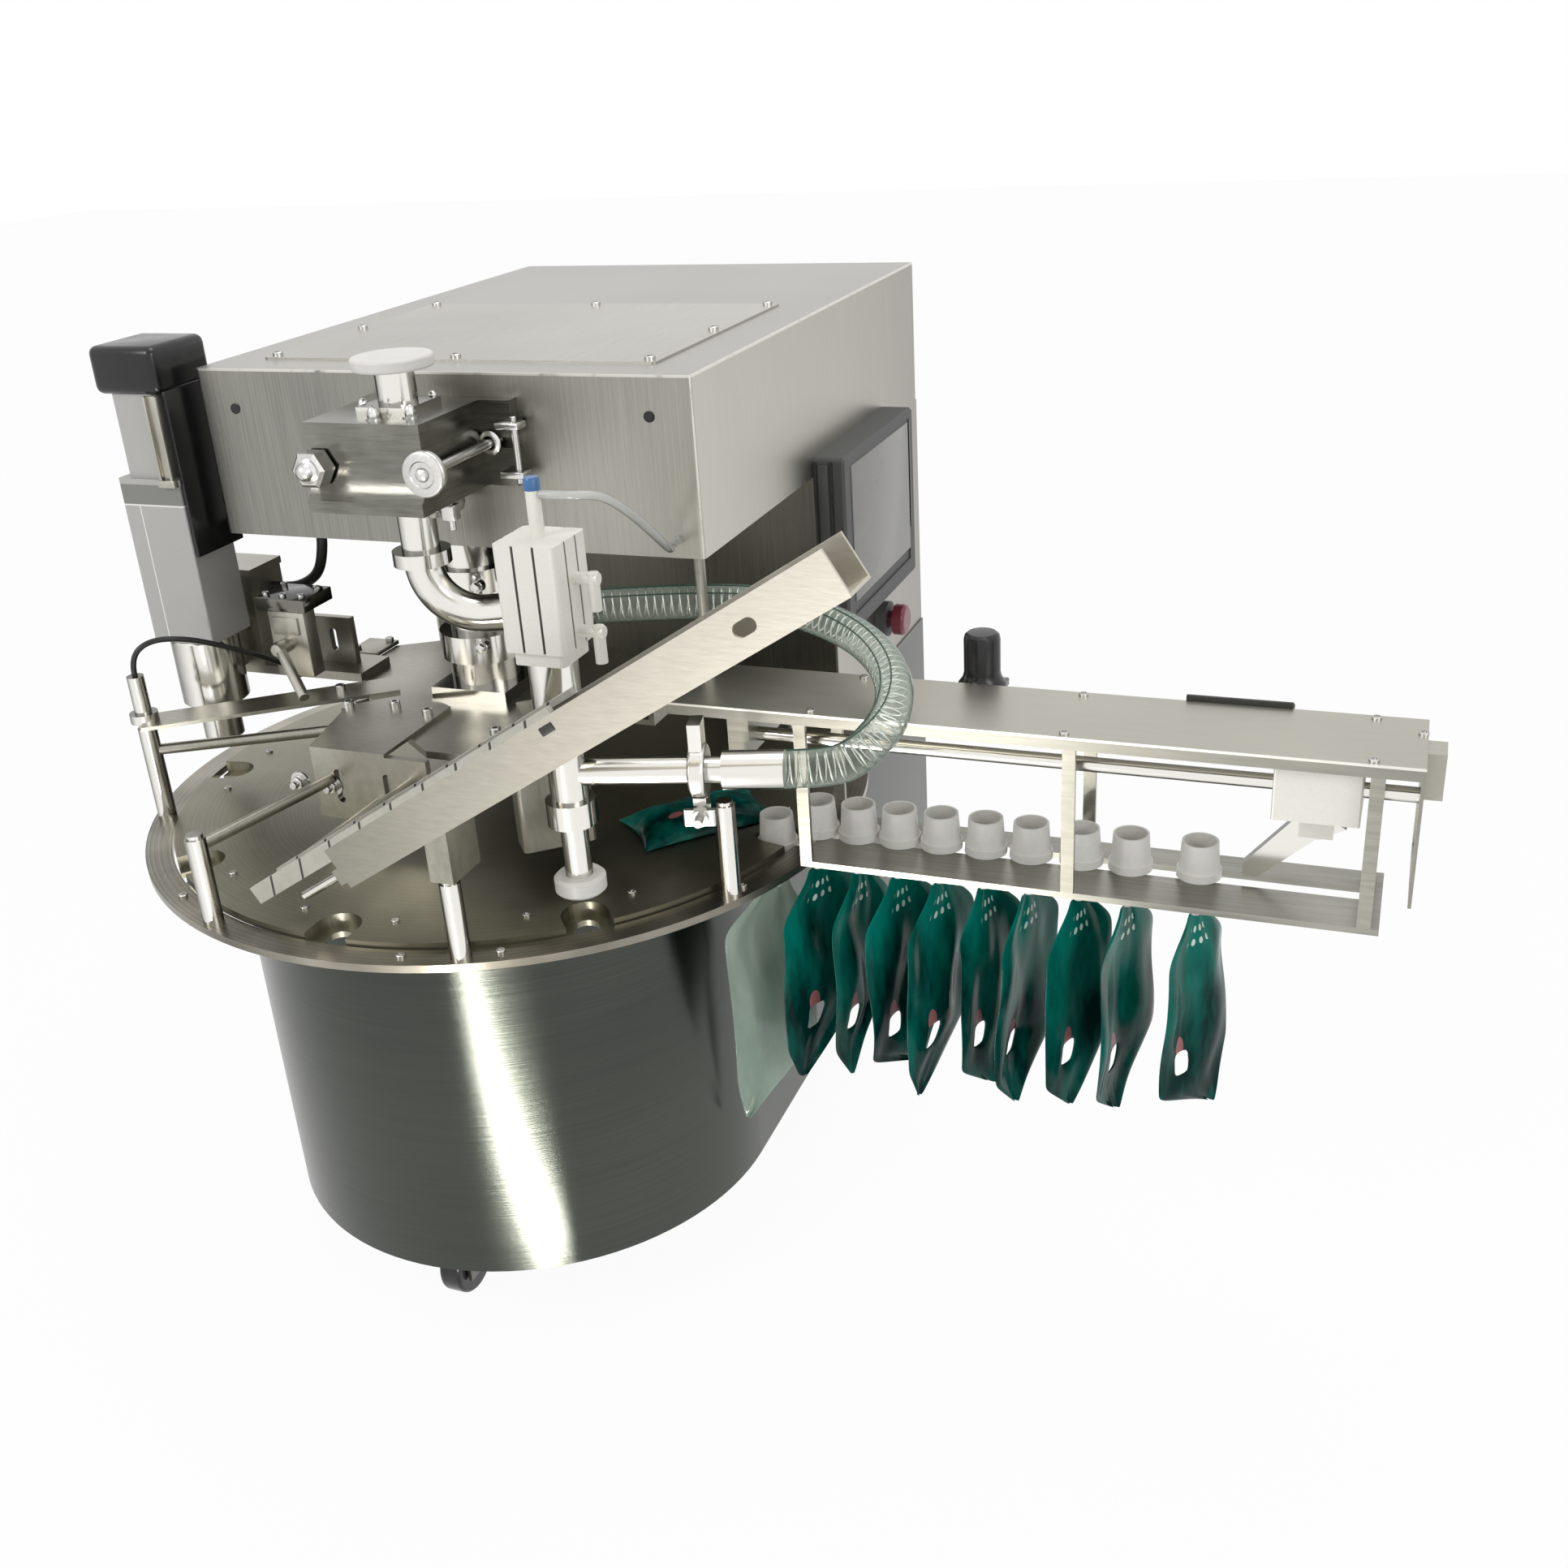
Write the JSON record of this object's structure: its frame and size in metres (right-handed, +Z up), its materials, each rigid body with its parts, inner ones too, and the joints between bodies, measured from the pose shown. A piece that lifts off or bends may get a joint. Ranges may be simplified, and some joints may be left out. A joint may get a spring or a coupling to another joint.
{
  "type": "stand-up pouch filling machine",
  "caption": "Rotary filling and capping machine for spouted stand-up pouches, with an indexing table, a dosing nozzle, a capping head and an infeed rail.",
  "frame": {"origin": "middle of the bounding box at floor level, under the wheels", "axes": "+X to the operator's right along the infeed rail, -Y towards the operator, +Z up"},
  "size_m": [1.37, 1.072, 1.025],
  "materials": {
    "brushed_stainless": "brushed stainless sheet",
    "polished_stainless": "polished stainless",
    "anodised_aluminium": "satin anodised",
    "steel_shaft": "ground steel",
    "zinc_fork": "zinc plated",
    "white_plastic": "white machined plastic",
    "translucent_cup": "translucent white",
    "pouch_film": "glossy laminated film",
    "clear_hose": "clear with a spiral",
    "black_cable": "black jacket",
    "black_rubber": "black tread",
    "dark_plastic": "dark grey",
    "red_plastic": "red"
  },
  "bodies": {
    "machine": {"base_shell": "brushed_stainless", "base_deck": "brushed_stainless", "column_shell": "brushed_stainless", "column_front": "brushed_stainless", "upper_housing": "brushed_stainless", "housing_lid": "brushed_stainless", "caster_plates": "zinc_fork", "table_ring": "brushed_stainless", "index_drive": "anodised_aluminium", "tool_plate": "brushed_stainless", "mast": "brushed_stainless", "product_valve": "polished_stainless", "inlet_tube": "polished_stainless", "outlet_elbow": "polished_stainless", "dosing_drive": "anodised_aluminium", "nozzle_body": "polished_stainless", "air_cylinder": "anodised_aluminium", "nozzle_bracket": "brushed_stainless", "product_pipe": "polished_stainless", "cap_chute": "brushed_stainless", "chute_strips": "white_plastic", "chute_supports": "brushed_stainless", "ring_posts": "polished_stainless", "capper_tower": "brushed_stainless", "guide_arms": "brushed_stainless", "cap_sensor": "polished_stainless", "operator_panel": "dark_plastic", "estop_collar": "dark_plastic", "rail_cover": "brushed_stainless", "rail_plates": "brushed_stainless", "rail_hangers": "brushed_stainless", "guide_rods": "polished_stainless", "product_hose": "clear_hose", "air_tube": "clear_hose", "sensor_cable": "black_cable", "drive_cable": "black_cable"},
    "turntable": {"turntable_disc": "brushed_stainless", "pocket_inserts": "brushed_stainless", "index_shaft": "steel_shaft", "first_pouch": "pouch_film", "loose_pouch": "pouch_film"},
    "nozzle_stem": {"nozzle_stem": "polished_stainless", "nozzle_foot": "white_plastic"},
    "capper_head": {"capper_head": "anodised_aluminium"},
    "capper_chuck": {"capper_chuck": "polished_stainless"},
    "dosing_piston": {"dosing_piston": "polished_stainless"},
    "inlet_cap": {"inlet_cap": "white_plastic"},
    "clamp_knob_left": {"clamp_knob_left": "polished_stainless"},
    "clamp_knob_right": {"clamp_knob_right": "polished_stainless"},
    "wing_nut": {"wing_nut": "polished_stainless"},
    "cap_stop": {"cap_stop": "polished_stainless"},
    "estop_button": {"estop_button": "red_plastic"},
    "pusher_carriage": {"pusher_carriage": "anodised_aluminium"},
    "pusher_pawl": {"pusher_pawl": "steel_shaft"},
    "pouch_row": {"row_spouts": "translucent_cup", "row_bags": "pouch_film"},
    "nose_caster_fork": {"nose_caster_fork": "zinc_fork"},
    "nose_wheel": {"nose_wheel": "black_rubber"},
    "left_wheel": {"left_wheel": "black_rubber"},
    "right_wheel": {"right_wheel": "black_rubber"}
  },
  "joints": [
    {"name": "turntable_index", "type": "hinge", "parent": "machine", "child": "turntable", "pos_m": [-0.285, -0.136, 0.53], "axis": [0, 0, 1], "range_deg": [-160, 0]},
    {"name": "nozzle_stroke", "type": "slide", "parent": "machine", "child": "nozzle_stem", "axis": [0, 0, 1], "range_m": [-0.0036, 0.01]},
    {"name": "capper_stroke", "type": "slide", "parent": "machine", "child": "capper_head", "axis": [0, 0, -1], "range_m": [0, 0.02]},
    {"name": "chuck_spin", "type": "hinge", "parent": "capper_head", "child": "capper_chuck", "pos_m": [-0.62673, -0.19626, 0.7], "axis": [0, 0, 1], "continuous": true},
    {"name": "dosing_stroke", "type": "slide", "parent": "machine", "child": "dosing_piston", "axis": [0, 1, 0], "range_m": [0, 0.08]},
    {"name": "inlet_cap_lift", "type": "slide", "parent": "machine", "child": "inlet_cap", "axis": [0, 0, 1], "range_m": [0, 0.03]},
    {"name": "left_knob_turn", "type": "hinge", "parent": "machine", "child": "clamp_knob_left", "pos_m": [-0.337, -0.316, 0.931], "axis": [0, -1, 0], "continuous": true},
    {"name": "right_knob_turn", "type": "hinge", "parent": "machine", "child": "clamp_knob_right", "pos_m": [-0.213, -0.316, 0.931], "axis": [0, -1, 0], "continuous": true},
    {"name": "wing_nut_turn", "type": "hinge", "parent": "machine", "child": "wing_nut", "pos_m": [0.06032, -0.38676, 0.639], "axis": [-0.2588, 0.9659, 0], "continuous": true},
    {"name": "cap_stop_slide", "type": "slide", "parent": "machine", "child": "cap_stop", "axis": [-0.848, 0, -0.5299], "range_m": [0, 0.01]},
    {"name": "estop_press", "type": "slide", "parent": "machine", "child": "estop_button", "axis": [-1, 0, 0], "range_m": [0, 0.004], "stiffness_N_per_m": 900},
    {"name": "pusher_slide", "type": "slide", "parent": "machine", "child": "pusher_carriage", "axis": [1, 0, 0], "range_m": [-0.015, 0.029]},
    {"name": "pawl_swing", "type": "hinge", "parent": "pusher_carriage", "child": "pusher_pawl", "pos_m": [0.5835, -0.19626, 0.602], "axis": [0, 1, 0], "range_deg": [0, 30], "stiffness_Nm_per_rad": 0.6, "springref_deg": -17.19},
    {"name": "row_advance", "type": "slide", "parent": "machine", "child": "pouch_row", "axis": [-1, 0, 0], "range_m": [0, 0.0035]},
    {"name": "nose_caster_swivel", "type": "hinge", "parent": "machine", "child": "nose_caster_fork", "pos_m": [-0.285, -0.398, 0.091], "axis": [0, 0, 1], "continuous": true},
    {"name": "nose_wheel_roll", "type": "hinge", "parent": "nose_caster_fork", "child": "nose_wheel", "pos_m": [-0.285, -0.376, 0.0375], "axis": [1, 0, 0], "continuous": true},
    {"name": "left_wheel_roll", "type": "hinge", "parent": "machine", "child": "left_wheel", "pos_m": [-0.485, 0.466, 0.0375], "axis": [1, 0, 0], "continuous": true},
    {"name": "right_wheel_roll", "type": "hinge", "parent": "machine", "child": "right_wheel", "pos_m": [-0.085, 0.466, 0.0375], "axis": [1, 0, 0], "continuous": true}
  ]
}
